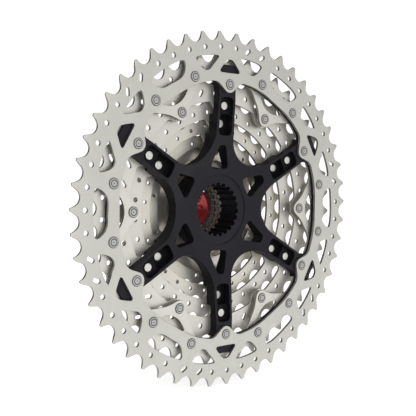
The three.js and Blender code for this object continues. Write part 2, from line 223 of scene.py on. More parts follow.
def relief(
    name,
    outer,
    holes,
    y_front,
    y_back,
    chamfer=0.16,
    back_chamfer=None,
    zones=(),
    zone_front=None,
    zone_back=None,
    extra=(),
    sharp=50,
):
    """A plate with rounded edges. outer and holes bound the metal. zones are closed loops where the
    front or the back steps; each is (loop, inwards) and inwards says which side its lip is on
    (+1 outside the loop, -1 inside it, 0 no lip). y_front and y_back take (points, zone number)."""
    back_chamfer = chamfer if back_chamfer is None else back_chamfer
    verts, edges, drop = [], [], []

    def add_loop(p, d):
        i0 = len(verts)
        verts.extend([Vector((float(a), float(b))) for a, b in p])
        drop.extend([d] * len(p))
        n = len(p)
        edges.extend([(i0 + i, i0 + (i + 1) % n) for i in range(n)])

    outer = ccw(dedupe(outer))
    holes = [ccw(dedupe(h)) for h in holes]
    c = chamfer
    for f in (0.0, 0.3, 1.0):
        add_loop(inset(outer, f * c) if f else outer, f)
        for h in holes:
            add_loop(inset(h, -f * c) if f else h, f)
    for loop, side in zones:
        loop = ccw(dedupe(loop))
        add_loop(loop, 0.0 if side else 9.0)
        if side:
            for f in (0.3, 1.0):
                add_loop(inset(loop, -side * f * c), f)
    for p in extra:
        if len(p) == 1:
            verts.append(Vector((float(p[0][0]), float(p[0][1]))))
            drop.append(9.0)
        else:
            add_loop(ccw(dedupe(np.asarray(p))), 9.0)
    v2, _, tris, vo, _, _ = delaunay_2d_cdt(verts, edges, [], 0, 1e-4)
    P = np.array([(v.x, v.y) for v in v2])
    dr = np.array([min((drop[k] for k in o), default=-1.0) for o in vo])
    T = np.array([t for t in tris if len(t) == 3])
    for t in tris:
        if len(t) > 3:
            T = np.concatenate([T, [[t[0], t[k], t[k + 1]] for k in range(1, len(t) - 1)]])
    C = P[T].mean(1)
    keep = inside(C, outer)
    for h in holes:
        keep &= ~inside(C, h)
    T, C = T[keep], C[keep]
    # new vertices where loops cross: distance to the nearest lip
    missing = np.nonzero(dr < 0)[0]
    if len(missing):
        lips = [outer] + holes + [ccw(dedupe(z[0])) for z in zones if z[1]]
        for m in missing:
            best = 9.0
            for L in lips:
                a, b = L, np.roll(L, -1, 0)
                ab = b - a
                t = np.clip(np.sum((P[m] - a) * ab, 1) / np.maximum(np.sum(ab * ab, 1), 1e-12), 0, 1)
                best = min(best, float(np.min(np.linalg.norm(a + ab * t[:, None] - P[m], axis=1))))
            dr[m] = best / c if best < c else 9.0
    fall = np.where(dr < 1.0, 1 - np.sqrt(np.maximum(0, 1 - (1 - np.clip(dr, 0, 1)) ** 2)), 0.0)
    zf = zone_front(C) if zone_front else np.zeros(len(T), int)
    zb = zone_back(C) if zone_back else np.zeros(len(T), int)
    # orientation: counter-clockwise in (x, z) faces the spoke side
    a, b, d = P[T[:, 0]], P[T[:, 1]], P[T[:, 2]]
    sgn = (b[:, 0] - a[:, 0]) * (d[:, 1] - a[:, 1]) - (b[:, 1] - a[:, 1]) * (d[:, 0] - a[:, 0])
    T[sgn < 0] = T[sgn < 0][:, ::-1]
    V, F, index = [], [], {}

    def vert(i, y):
        k = (int(i), round(float(y), 4))
        if k not in index:
            index[k] = len(V)
            V.append((P[i, 0], y, P[i, 1]))
        return index[k]

    nz = {int(z) for z in zf}
    YF = {z: y_front(P, z) for z in nz}
    YB = {int(z): y_back(P, int(z)) for z in set(zb.tolist())}
    lipf = {z: (YF[z] + fall * c) if (z % 2 == 0) else YF[z] for z in nz}
    bc = back_chamfer
    lipb = {z: YB[z] - fall * bc for z in YB}
    em = {}
    for ti, t in enumerate(T):
        z0, z1 = int(zf[ti]), int(zb[ti])
        F.append([vert(i, lipf[z0][i]) for i in t])
        F.append([vert(i, lipb[z1][i]) for i in t[::-1]])
        for j in range(3):
            u, w = int(t[j]), int(t[(j + 1) % 3])
            em.setdefault((min(u, w), max(u, w)), []).append((u, w, z0, z1))
    for (u, w), own in em.items():
        if len(own) == 1:
            u, w, z0, z1 = own[0]
            q = [vert(u, lipf[z0][u]), vert(u, lipb[z1][u]), vert(w, lipb[z1][w]), vert(w, lipf[z0][w])]
            F.append(q)
        elif len(own) == 2:
            (u, w, a0, b0), (_, _, a1, b1) = own
            for H, p, q in ((lipf, a0, a1), (lipb, b0, b1)):
                if p != q and (abs(H[p][u] - H[q][u]) > 1e-4 or abs(H[p][w] - H[q][w]) > 1e-4):
                    f = [vert(u, H[p][u]), vert(u, H[q][u]), vert(w, H[q][w]), vert(w, H[p][w])]
                    g = []
                    for k in f:
                        if k not in g:
                            g.append(k)
                    if len(g) >= 3:
                        F.append(g)
    return make_object(name, V, F, sharp)


def lathe(name, profile, x=0.0, z=0.0, n=48, sharp=35, dents=None):
    """Turns an (r, y) profile about an axis along Y."""
    V, F = [], []
    m = len(profile)
    rows = []
    for r, y in profile:
        if r < 1e-6:
            rows.append([len(V)] * n)
            V.append((x, y, z))
        else:
            rows.append(list(range(len(V), len(V) + n)))
            for i in range(n):
                a = 2 * math.pi * i / n
                V.append((x + r * math.sin(a), y, z + r * math.cos(a)))
    for k in range(m if profile[0][0] > 1e-6 else m - 1):
        A, B = rows[k], rows[(k + 1) % m]
        for i in range(n):
            j = (i + 1) % n
            q = []
            for v in (A[i], A[j], B[j], B[i]):
                if v not in q:
                    q.append(v)
            if len(q) > 2:
                F.append(q)
    return make_object(name, V, F, sharp)


# ------------------------------------------------------------------ tooth outlines
def teeth(n, valley, lean=None, tip=TIP, w=0.9):
    rp = pitch_r(n)
    half = 180.0 / n
    top = rp + tip
    out = []
    T = 60 if n > 20 else 55
    arc = np.linspace(-T, T, 11) * D
    R = 4.6 if n > 20 else 4.2
    low = rp - 3.87 + R
    for i in range(n):
        a = valley + i * 2 * half
        loc = np.stack([R * np.sin(arc), low - R * np.cos(arc)], 1)
        out.append(turn(loc, a))
        d = lean(i) if lean else 0.0
        p0 = turn(turn([[R * math.sin(T * D), low - R * math.cos(T * D)]], a), -(a + half))[0]
        p3 = np.array([-p0[0], p0[1]])
        tl = np.array([d - w, top - 0.40])
        tr = np.array([d + w, top - 0.40])
        tang = np.array([math.cos(T * D), math.sin(T * D)])
        for s, (A, B, tg) in enumerate(((p0, tl, tang), (tr, p3, None))):
            if s == 0:
                ctrl = A + tg * 0.5 * np.linalg.norm(B - A)
                ts = np.linspace(0, 1, 6)[1:]
            else:
                ctrl = B + np.array([-math.cos(T * D), math.sin(T * D)]) * 0.5 * np.linalg.norm(B - A)
                ts = np.linspace(0, 1, 6)[:-1]
            seg = [(1 - t) ** 2 * A + 2 * t * (1 - t) * ctrl + t * t * B for t in ts]
            if s == 0:
                left = seg
            else:
                right = seg
        cap = [
            [d - 0.90 * w, top - 0.18],
            [d - 0.62 * w, top - 0.05],
            [d, top],
            [d + 0.62 * w, top - 0.05],
            [d + 0.90 * w, top - 0.18],
        ]
        out.append(turn(np.array(left + [np.array(q) for q in cap] + right), a + half))
    return np.concatenate(out)


def thinned(n, y0, y1, thin=0.36, ramp=None):
    """Front and back heights of a sprocket whose teeth thin towards their tips."""
    rp = pitch_r(n)

    def t(P):
        r = np.hypot(P[:, 0], P[:, 1])
        s = np.clip((r - (rp - 1.9)) / 3.7, 0, 1)
        return s * s * (3 - 2 * s) * thin

    return (lambda P, z: y0 + t(P)), (lambda P, z: y1 - t(P))


def tooth_guides(n, valley):
    """Loops and points inside the metal that keep the thinned teeth apart from the flat face."""
    rp = pitch_r(n)
    out = [ring(rp - ROLLER - 0.9, max(48, n * 4))]
    for i in range(n):
        a = valley + (i + 0.5) * 360.0 / n
        for r, w in ((rp - 2.4, 1.6), (rp - 1.0, 1.1), (rp + 0.5, 0.5)):
            for s in (-1, 0, 1):
                out.append(turn([[s * w, r]], a))
    return out


def lobed(r, lobes, n=720):
    pts = []
    for i in range(n):
        a = i * 360.0 / n
        rad = r
        for deg, depth, half in lobes:
            d = abs((a - deg + 540) % 360 - 180)
            if d < half:
                rad = min(rad, r - depth * min(1.0, 1.55 * math.cos(d / half * 90 * D)) ** 0.9)
        pts.append(at(rad, a))
    p = np.array(pts)
    for _ in range(6):  # rounds the lobes' corners
        p = 0.25 * np.roll(p, 1, 0) + 0.5 * p + 0.25 * np.roll(p, -1, 0)
    return p


def splines(root=BORE_R, crest=BORE_TIP_R, n=23):
    h = 360.0 / n
    pts = []
    for i in range(n):
        a = i * h
        for k in (-0.28, -0.14, 0.0, 0.14, 0.28):
            pts.append(at(root, a + k * h))
        pts.append(at(root - 0.18, a + 0.315 * h))
        pts.append(at(crest + 0.14, a + 0.365 * h))
        for k in (0.4, 0.5, 0.6):
            pts.append(at(crest, a + k * h))
        pts.append(at(crest + 0.14, a + 0.635 * h))
        pts.append(at(root - 0.18, a + 0.685 * h))
    return np.array(pts)


# ------------------------------------------------------------------ contours of the two large rings
HALF = np.array(
    [(0, 69.23), (1.9, 69.62), (3.5, 70.72), (5.3, 72.3), (7.4, 74.1), (9.2, 75.0), (11.5, 75.4),
     (15, 74.8), (20, 73.7), (25, 72.0), (30, 69.8), (35, 66.9)]
)
MIDPT = np.array([[37.75, 65.4]])


def inner_contour(grow=0.0):
    sector = np.concatenate([HALF, MIDPT, mirror30(HALF[1:])])
    p = np.concatenate([turn(sector, 60 * i) for i in range(6)])
    p = ccw(smooth(p, 5))
    return inset(p, -grow) if grow else p


CUT_ARM = [(-6.9, 80.95), (-4.5, 80.8), (0, 80.75), (4.5, 80.8), (6.9, 80.95), (7.5, 81.7), (7.2, 82.5),
           (4.9, 85.4), (2.7, 87.7), (1.2, 88.5), (-1.2, 88.5), (-2.7, 87.7), (-4.9, 85.4), (-7.2, 82.5),
           (-7.5, 81.7)]
CUT_SIDE = [(8.5, 89.8), (10.4, 90.2), (17.5, 89.5), (23.3, 88.2), (25.2, 87.2), (25.3, 86.4), (23.3, 83.8),
            (20.4, 81.5), (17.9, 80.8), (15.4, 81.5), (12.5, 84.7), (9.6, 88)]
CUT_MID = [(32.9, 83.6), (33.6, 84.3), (34.6, 84.4), (40, 82.2), (44.4, 80.1), (48.3, 78), (53.3, 74.7),
           (55.9, 72), (56, 70.9), (54.2, 69.3), (51.3, 68), (48.3, 67.8), (45, 69), (40, 72.2), (35.8, 74.7),
           (33.75, 77.2), (32.9, 80.1)]
SLOTTED = {0, 1, 9, 10, 17, 18, 26, 27, 34, 35, 43, 44}


def lean51(i):
    # tooth i follows valley i; the gate teeth lean clockwise, the ones before them the other way
    k = i
    if k in SLOTTED:
        return 0.75
    if (k + 2) % 51 in SLOTTED and (k + 1) % 51 not in SLOTTED:
        return -0.35
    if (k + 3) % 51 in SLOTTED and (k + 2) % 51 not in SLOTTED:
        return -0.3
    return 0.22


def cog(name, k, holes, chamfer=0.14, lean=None, thin=0.36, y0=None, extra=()):
    n = TEETH[k]
    y0 = front(k) if y0 is None else y0
    yf, yb = thinned(n, y0 + 0.004, front(k) + THICK - 0.004, thin)
    return relief(name, teeth(n, VALLEY[k], lean), holes, yf, yb, chamfer,
                  extra=list(tooth_guides(n, VALLEY[k])) + list(extra))


PIECES = {}


def done(ob, node, mats, body):
    ob.data.materials.clear()
    for m in mats if isinstance(mats, (list, tuple)) else [mats]:
        ob.data.materials.append(m)
    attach(ob, body)
    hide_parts(node)
    PIECES[node] = ob
    return ob


def shade_side_walls(mat):
    """Side walls of the sprockets take a darker steel: painted shade on the walls."""
    for node, ob in PIECES.items():
        if not node.startswith("sprocket_"):
            continue
        ob.data.materials.append(mat)
        ny = np.array([p.normal[1] for p in ob.data.polygons])
        ob.data.polygons.foreach_set("material_index", (np.abs(ny) < 0.5).astype(np.int32) * (len(ob.data.materials) - 1))


# ------------------------------------------------------------------ materials
def new_mat(name):
    m = bpy.data.materials.new(name)
    m.use_nodes = True
    nt = m.node_tree
    nt.nodes.clear()
    out = nt.nodes.new("ShaderNodeOutputMaterial")
    bsdf = nt.nodes.new("ShaderNodeBsdfPrincipled")
    nt.links.new(bsdf.outputs["BSDF"], out.inputs["Surface"])
    return m, nt, bsdf


class G:
    """Short hand for building a node graph."""

    def __init__(self, nt):
        self.nt = nt
        self.pos = None

    def n(self, kind, **kw):
        node = self.nt.nodes.new(kind)
        for k, v in kw.items():
            setattr(node, k, v)
        return node

    def link(self, a, b):
        self.nt.links.new(a, b)

    def coords(self, scale=(1, 1, 1), rot=(0, 0, 0)):
        if self.pos is None:
            self.pos = self.n("ShaderNodeTexCoord").outputs["Object"]
        mp = self.n("ShaderNodeMapping")
        mp.inputs["Scale"].default_value = scale
        mp.inputs["Rotation"].default_value = rot
        self.link(self.pos, mp.inputs["Vector"])
        return mp.outputs["Vector"]

    def noise(self, scale=(1, 1, 1), detail=3.0, rough=0.55, rot=(0, 0, 0)):
        t = self.n("ShaderNodeTexNoise")
        t.inputs["Scale"].default_value = 1.0
        t.inputs["Detail"].default_value = detail
        t.inputs["Roughness"].default_value = rough
        self.link(self.coords(scale, rot), t.inputs["Vector"])
        return t.outputs["Fac"]

    def polar(self, k_r, k_a, detail=2.0):
        """Noise laid along circles about the Y axis."""
        if self.pos is None:
            self.pos = self.n("ShaderNodeTexCoord").outputs["Object"]
        sep = self.n("ShaderNodeSeparateXYZ")
        self.link(self.pos, sep.inputs[0])
        x2 = self.math("MULTIPLY", sep.outputs["X"], sep.outputs["X"])
        z2 = self.math("MULTIPLY", sep.outputs["Z"], sep.outputs["Z"])
        r = self.math("SQRT", self.math("ADD", x2, z2))
        a = self.math("ARCTAN2", sep.outputs["X"], sep.outputs["Z"])
        com = self.n("ShaderNodeCombineXYZ")
        self.link(self.math("MULTIPLY", r, k_r), com.inputs[0])
        self.link(self.math("MULTIPLY", a, k_a), com.inputs[1])
        self.link(self.math("MULTIPLY", sep.outputs["Y"], 900.0), com.inputs[2])
        t = self.n("ShaderNodeTexNoise")
        t.inputs["Scale"].default_value = 1.0
        t.inputs["Detail"].default_value = detail
        self.link(com.outputs[0], t.inputs["Vector"])
        return t.outputs["Fac"]

    def math(self, op, a, b=None, clamp=False):
        m = self.n("ShaderNodeMath", operation=op, use_clamp=clamp)
        for i, v in enumerate((a, b)):
            if v is None:
                continue
            if isinstance(v, (int, float)):
                m.inputs[i].default_value = v
            else:
                self.link(v, m.inputs[i])
        return m.outputs[0]

    def ramp(self, v, lo, hi, a=0.0, b=1.0):
        m = self.n("ShaderNodeMapRange")
        m.clamp = True
        m.inputs["From Min"].default_value = lo
        m.inputs["From Max"].default_value = hi
        m.inputs["To Min"].default_value = a
        m.inputs["To Max"].default_value = b
        self.link(v, m.inputs["Value"])
        return m.outputs["Result"]

    def mix(self, f, a, b, mode="MIX"):
        m = self.n("ShaderNodeMix", data_type="RGBA", blend_type=mode)
        if isinstance(f, (int, float)):
            m.inputs[0].default_value = f
        else:
            self.link(f, m.inputs[0])
        for s, v in ((6, a), (7, b)):
            if isinstance(v, tuple):
                m.inputs[s].default_value = (*v, 1.0)
            else:
                self.link(v, m.inputs[s])
        return m.outputs[2]

    def edge(self, radius=0.00035, lo=0.02, hi=0.25):
        """1 along convex and concave edges, 0 on flat faces."""
        bv = self.n("ShaderNodeBevel")
        bv.samples = 4
        bv.inputs["Radius"].default_value = radius
        geo = self.n("ShaderNodeNewGeometry")
        dot = self.n("ShaderNodeVectorMath", operation="DOT_PRODUCT")
        self.link(bv.outputs["Normal"], dot.inputs[0])
        self.link(geo.outputs["Normal"], dot.inputs[1])
        return self.ramp(self.math("SUBTRACT", 1.0, dot.outputs["Value"]), lo, hi)

    def bump(self, pairs, base=None):
        """Stacks (height, distance, strength) bumps."""
        nrm = base
        for h, dist, strength in pairs:
            b = self.n("ShaderNodeBump")
            b.inputs["Distance"].default_value = dist
            b.inputs["Strength"].default_value = strength
            self.link(h, b.inputs["Height"])
            if nrm is not None:
                self.link(nrm, b.inputs["Normal"])
            nrm = b.outputs["Normal"]
        return nrm


def steel(name, base=(0.500, 0.496, 0.463), rough=0.42, lines="brushed", painted_shade_tint=0.0, metal=0.92):
    m, nt, b = new_mat(name)
    g = G(nt)
    grain = g.noise((2600, 2600, 2600), 2.0, 0.6)
    cloud = g.noise((38, 38, 38), 3.0, 0.55)
    blotch = g.noise((120, 120, 120), 4.0, 0.6)
    if lines == "brushed":
        line = g.noise((2400, 2400, 70), 3.0, 0.6, rot=(0, 0.30, 0))
    else:
        line = g.polar(2300.0, 6.0, 3.0)
    edge = g.edge(0.00028)
    scr = g.noise((900, 900, 24), 2.0, 0.5, rot=(0, -0.55, 0))
    scratch = g.ramp(scr, 0.70, 0.76)
    c = g.mix(g.ramp(cloud, 0.3, 0.7), tuple(v * 0.955 for v in base), tuple(min(1, v * 1.035) for v in base))
    c = g.mix(g.ramp(blotch, 0.45, 0.8, 0, 0.22), c, (base[0] * 0.86, base[1] * 0.84, base[2] * 0.78))
    c = g.mix(g.ramp(line, 0.25, 0.75, 0, 0.16), c, (base[0] * 0.82, base[1] * 0.82, base[2] * 0.82))
    c = g.mix(g.math("MULTIPLY", edge, 0.35), c, (min(1, base[0] * 1.25), min(1, base[1] * 1.25), min(1, base[2] * 1.27)))
    c = g.mix(g.math("MULTIPLY", scratch, 0.12), c, (0.9, 0.9, 0.88))
    # painted shade: a warm brownish darkening stands in for the shade deep inside the cluster
    if painted_shade_tint:
        c = g.mix(painted_shade_tint, c, (base[0] * 0.92, base[1] * 0.86, base[2] * 0.76), "MIX")
    g.link(c, b.inputs["Base Color"])
    r = g.ramp(grain, 0.2, 0.8, rough - 0.05, rough + 0.06)
    r = g.math("ADD", r, g.ramp(line, 0.2, 0.8, -0.05, 0.05))
    r = g.math("SUBTRACT", r, g.math("MULTIPLY", edge, 0.10), clamp=True)
    g.link(r, b.inputs["Roughness"])
    b.inputs["Metallic"].default_value = metal
    nrm = g.bump([(line, 0.00002, 0.25), (grain, 0.000015, 0.22)])
    g.link(nrm, b.inputs["Normal"])
    return m


def anodised(name, base=(0.0070, 0.0063, 0.0095), rough=0.36, metal=0.0, spec=0.15, edge_amt=0.65):
    m, nt, b = new_mat(name)
    g = G(nt)
    grain = g.noise((3000, 3000, 3000), 2.0, 0.6)
    cloud = g.noise((45, 45, 45), 3.0, 0.55)
    tool = g.polar(1500.0, 2.0, 2.0)
    edge = g.edge(0.00035)
    patch = g.noise((260, 260, 260), 4.0, 0.6)
    c = g.mix(g.ramp(cloud, 0.3, 0.7), tuple(v * 0.82 for v in base), tuple(v * 1.2 for v in base))
    c = g.mix(g.ramp(tool, 0.3, 0.8, 0, 0.25), c, tuple(v * 1.35 for v in base))
    worn = g.math("MULTIPLY", edge, g.ramp(patch, 0.35, 0.65, 0.25, 1.0))
    c = g.mix(g.math("MULTIPLY", worn, edge_amt), c, (0.075, 0.075, 0.095))
    g.link(c, b.inputs["Base Color"])
    r = g.ramp(grain, 0.2, 0.8, rough - 0.05, rough + 0.07)
    r = g.math("SUBTRACT", r, g.math("MULTIPLY", worn, 0.12), clamp=True)
    g.link(r, b.inputs["Roughness"])
    b.inputs["Metallic"].default_value = metal
    b.inputs["Specular IOR Level"].default_value = spec
    nrm = g.bump([(tool, 0.00001, 0.12), (grain, 0.00002, 0.25)])
    g.link(nrm, b.inputs["Normal"])
    return m


def moulded(name, base=(0.060, 0.045, 0.034)):
    m, nt, b = new_mat(name)
    g = G(nt)
    grain = g.noise((1800, 1800, 1800), 3.0, 0.6)
    cloud = g.noise((90, 90, 90), 3.0, 0.5)
    edge = g.edge(0.0003)
    c = g.mix(g.ramp(cloud, 0.3, 0.7), tuple(v * 0.8 for v in base), tuple(v * 1.25 for v in base))
    c = g.mix(g.math("MULTIPLY", edge, 0.3), c, tuple(min(1, v * 2.2) for v in base))
    g.link(c, b.inputs["Base Color"])
    g.link(g.ramp(grain, 0.2, 0.8, 0.45, 0.62), b.inputs["Roughness"])
    g.link(g.bump([(grain, 0.00004, 0.35)]), b.inputs["Normal"])
    return m


def red_anodised(name):
    m, nt, b = new_mat(name)
    g = G(nt)
    grain = g.noise((2500, 2500, 2500), 2.0, 0.6)
    line = g.polar(1200.0, 2.0, 2.0)
    cloud = g.noise((110, 110, 110), 3.0, 0.5)
    edge = g.edge(0.0003)
    c = g.mix(g.ramp(cloud, 0.3, 0.7), (0.30, 0.004, 0.007), (0.40, 0.008, 0.011))
    c = g.mix(g.ramp(line, 0.35, 0.8, 0, 0.3), c, (0.27, 0.005, 0.007))
    c = g.mix(g.math("MULTIPLY", edge, 0.35), c, (0.92, 0.16, 0.14))
    g.link(c, b.inputs["Base Color"])
    g.link(g.ramp(grain, 0.2, 0.8, 0.30, 0.42), b.inputs["Roughness"])
    b.inputs["Metallic"].default_value = 0.45
    g.link(g.bump([(line, 0.00002, 0.25), (grain, 0.00001, 0.2)]), b.inputs["Normal"])
    return m


M_FACE = steel("steel_brushed", lines="brushed")
M_RING = steel("steel_turned", base=(0.585, 0.575, 0.532), rough=0.40, lines="turned")
# turned steel for the sprockets deep in the cluster, tinted warm as painted shade
M_DEEP_SHADED = steel("steel_turned_deep_painted_shade", base=(0.60, 0.585, 0.54), rough=0.38, lines="turned", painted_shade_tint=0.25)
# half-bright steel for the sprocket side walls: painted shade
M_WALL_SHADE = steel("steel_wall_painted_shade", base=(0.25, 0.24, 0.22), rough=0.50, lines="turned")
M_RIVET = steel("steel_rivet", base=(0.40, 0.40, 0.39), rough=0.40, lines="turned")
# near-black steel for the rivet grooves, middle dimples and the gaps round the heads: painted shade
M_RIVET_SHADE = steel("steel_rivet_painted_shade", base=(0.075, 0.073, 0.068), rough=0.6, lines="turned", metal=0.6)
M_STUD = steel("steel_stud", base=(0.60, 0.595, 0.56), rough=0.42, lines="turned")
M_BLACK = anodised("anodised_black")
# black anodising darkened further for pockets, walls, the sleeve and the 21-tooth collar: painted shade
M_BLACK_SHADE = anodised("anodised_black_painted_shade", base=(0.004, 0.004, 0.005), rough=0.5, spec=0.08, edge_amt=0.35)
M_BROWN = moulded("moulded_brown")
M_RED = red_anodised("anodised_red")

# ------------------------------------------------------------------ sprockets riding on the spider
tooth51 = lambda k: VALLEY[0] + (k + 0.5) * 360 / 51
holes51 = [inner_contour()]
for a in ARMS:
    holes51.append(turn(smooth(CUT_ARM, 4), a))
    holes51.append(turn(smooth(CUT_SIDE, 5), a))
    holes51.append(turn(smooth(mirror30(CUT_SIDE), 5), a))
    holes51.append(turn(smooth(CUT_MID, 4), a))
for k in range(51):
    if k in SLOTTED:
        holes51.append(slot_hole(95.6, tooth51(k) - 1.4, 1.2, 1.25, 48))
    else:
        holes51.append(dot_hole(95.9, tooth51(k), 1.48, 20))
RIV = [dot_hole(LOBE_R, a, 1.95, 20) for a in ARMS] + [dot_hole(PAIR_R, a, 1.95, 20) for a in PAIRS]
done(cog("ring_51", 0, holes51 + RIV, chamfer=0.17, lean=lean51), "sprocket_51", M_FACE, "carrier")

TAB = np.array([(59.55, 0), (60.05, 1.6), (60.9, 2.9), (62.0, 4.0), (63.6, 5.2), (65.4, 6.8), (67.2, 8.7), (68.8, 10.9),
                (70, 12.9), (71.4, 15.0), (72.6, 17.0), (73.4, 18.8), (73.95, 20.4)])


def tab_contour():
    s = []
    right = uv30(TAB * [1, 1])
    left = uv30(TAB[1:][::-1] * [1, -1])
    tabpts = np.concatenate([left, right])
    for i in range(6):
        s.append(turn([at(76.4, -5), at(76.4, 0), at(76.4, 5)], 60 * i))
        s.append(turn(tabpts, 60 * i))
    return smooth(np.concatenate(s), 4)


MOON = uv30([(73.9, -9.7), (73.2, -8.6), (72.1, -7.0), (71.2, -5.2), (70.35, -2.6), (70.1, 0), (70.35, 2.6), (71.2, 5.2),
             (72.1, 7.0), (73.2, 8.6), (73.9, 9.7), (74.9, 8.4), (75.7, 6.2), (76.3, 3.2), (76.45, 0), (76.3, -3.2),
             (75.7, -6.2), (74.9, -8.4)])
holes45 = [tab_contour()] + [turn(smooth(MOON, 3), a) for a in ARMS]
for k in range(45):
    a = VALLEY[1] + (k + 0.5) * 8
    if k % 8 in (3, 4):
        holes45.append(slot_hole(83.6, a - 1.2, 1.15, 1.2, 48))
    else:
        holes45.append(dot_hole(83.9, a, 1.45))
holes45 += [dot_hole(PAIR_R, a, 1.95, 20) for a in PAIRS] + [dot_hole(TAB_R, a, 1.95, 20) for a in MIDS]
# holes that would meet a rim rivet head are left out
holes45 = [h for h in holes45 if len(h) > 40 or all(
    np.hypot(*(h.mean(0) - at(PAIR_R, a))) > 4.4 or np.hypot(*(h.mean(0) - at(PAIR_R, a))) < 0.2 for a in PAIRS)]
LEAN = lambda i: (0.45 if i % 8 in (3, 4) else -0.25 if i % 8 in (1, 2) else 0.2)
done(cog("ring_45", 1, holes45, chamfer=0.15, lean=LEAN), "sprocket_45", M_RING, "carrier")

holes39 = [lobed(64.6, [(a, 6.95, 7) for a in ARMS] + [(a, 4.6, 6) for a in MIDS])]
for k in range(39):
    a = VALLEY[2] + (k + 0.5) * 360 / 39
    if k % 7 in (2, 3):
        holes39.append(slot_hole(70.1, a - 1.2, 1.2, 1.15, 48))
    else:
        holes39.append(dot_hole(70.1, a, 1.55))
holes39 += [dot_hole(ARM_OUT_R, a, 1.55) for a in ARMS] + [dot_hole(TAB_R, a, 1.95) for a in MIDS]
done(cog("ring_39", 2, holes39, lean=LEAN), "sprocket_39", M_RING, "carrier")

holes33 = [lobed(54.3, [(a, 7.4, 9) for a in ARMS])]
for k in range(33):
    a = VALLEY[3] + (k + 0.5) * 360 / 33
    holes33.append(dot_hole(58.6, a, 1.4))
holes33 += [dot_hole(ARM_IN_R, a, 1.55) for a in ARMS]
done(cog("ring_33", 3, holes33, lean=LEAN), "sprocket_33", M_RING, "carrier")

# ------------------------------------------------------------------ the pinned cluster and the loose sprockets
holes28 = [lobed(46.0, [(a, 13.2, 11) for a in (0, 120, 240)])]
for k in range(28):
    holes28.append(dot_hole(49.6, VALLEY[4] + (k + 0.5) * 360 / 28, 1.15, 14))
holes28 += [dot_hole(PIN_OUT_R, a, 1.35) for a in (0, 120, 240)]
done(cog("ring_28", 4, holes28, lean=LEAN), "sprocket_28", M_DEEP_SHADED, "cluster")
holes24 = [lobed(38.2, [(a, 5.4, 11) for a in (0, 120, 240)])]
for k in range(0, 24, 2):
    holes24.append(dot_hole(41.2, VALLEY[5] + (k + 0.5) * 15, 1.15, 14))
holes24 += [dot_hole(PIN_OUT_R, a, 1.35) for a in (0, 120, 240)]
done(cog("ring_24", 5, holes24, lean=LEAN), "sprocket_24", M_DEEP_SHADED, "cluster")


def web(r0, r1, half):
    pts = [at(r0, -half), at(r0 - 0.0, 0), at(r0, half), at(r0 + 0.6, half + 1.2), at(r1 - 1.2, half * 0.95),
           at(r1, half * 0.8), at(r1 + 0.35, 0), at(r1, -half * 0.8), at(r1 - 1.2, -half * 0.95), at(r0 + 0.6, -half - 1.2)]
    return smooth(np.array(pts), 4)


holes21 = [splines()] + [turn(web(25.6, 31.2, 18), a) for a in MIDS]
holes21 += [dot_hole(PIN_OUT_R, a, 1.35) for a in (0, 120, 240)] + [dot_hole(PIN_IN_R, a, 1.35) for a in (60, 180, 300)]


def ring21():
    yf0, yb0 = thinned(21, front(6) + 0.004, front(6) + THICK - 0.004, 0.36)
    col = ring(19.98, 120)

    def zone(C):
        return np.where(inside(C, ccw(col)), 2, 1)

    return relief("ring_21", teeth(21, VALLEY[6]), holes21,
                  lambda P, z: np.full(len(P), 21.66) if z == 2 else yf0(P, z),
                  lambda P, z: np.full(len(P), front(7) - 0.06) if z == 2 else yb0(P, z),
                  0.14, zones=[(col, 0)], zone_front=zone, zone_back=zone, extra=list(tooth_guides(21, VALLEY[6])))


done(ring21(), "sprocket_21", M_DEEP_SHADED, "cluster")
for k, n in ((7, 18), (8, 16), (9, 14)):
    h = [splines()] + [dot_hole(PIN_IN_R, a, 1.35) for a in (60, 180, 300)]
    if n == 18:
        h += [dot_hole(27.2, a, 2.15, 24) for a in (0, 120, 240)]
    done(cog(f"ring_{n}", k, h, chamfer=0.12), f"sprocket_{n}", M_DEEP_SHADED, "cluster")
for k, name in ((7, "spacer_18_16"), (8, "spacer_16_14")):
    a0, a1 = front(k) + THICK + 0.05, front(k + 1) - 0.05
    prof = [(16.37, a0 + 0.15), (16.5, a0 + 0.02), (20.4, a0 + 0.02), (20.55, a0 + 0.17), (20.55, a0 + 0.7), (20.3, a0 + 0.85),
            (20.3, a1 - 0.85), (20.55, a1 - 0.7), (20.55, a1 - 0.17), (20.4, a1 - 0.02), (16.5, a1 - 0.02), (16.37, a1 - 0.15)]
    done(lathe("turned_" + name, prof, n=96), name, M_BROWN, "cluster")


def small(name, n, k, hub, bore, node):
    """Small loose sprocket: toothed disc with a collar towards the larger ones."""
    y0 = front(k)
    yc = front(k - 1) + THICK + 0.21
    rp = pitch_r(n)
    _, yb = thinned(n, y0, y0 + THICK - 0.004, 0.34)

    def yf(P, z):
        r = np.hypot(P[:, 0], P[:, 1])
        if z == 2:
            return np.full(len(P), yc)
        s = np.clip((r - (rp - 1.9)) / 3.7, 0, 1)
        return y0 + 0.004 + s * s * (3 - 2 * s) * 0.34

    hubr = min(hub - 0.02, rp - ROLLER - 0.35)
    hub_loop = ring(hub - 0.02, 96)
    extra = [turn([[s * w, r]], VALLEY[k] + (i + 0.5) * 360 / n) for i in range(n)
             for r, w in ((rp - 1.0, 1.1), (rp + 0.5, 0.5)) for s in (-1, 0, 1)]
    return done(relief(name, teeth(n, VALLEY[k]), [bore], yf, yb, 0.12, zones=[(hub_loop, -1)],
                       zone_front=lambda C: np.where(inside(C, ccw(hub_loop)), 2, 1), extra=extra),
                node, M_DEEP_SHADED, {12: "cog_12", 10: "cog_10"}[n])


small("ring_12", 12, 10, 18.6, splines(), "sprocket_12")
small("ring_10", 10, 11, 15.9, ring(14.52, 96), "sprocket_10")

shade_side_walls(M_WALL_SHADE)
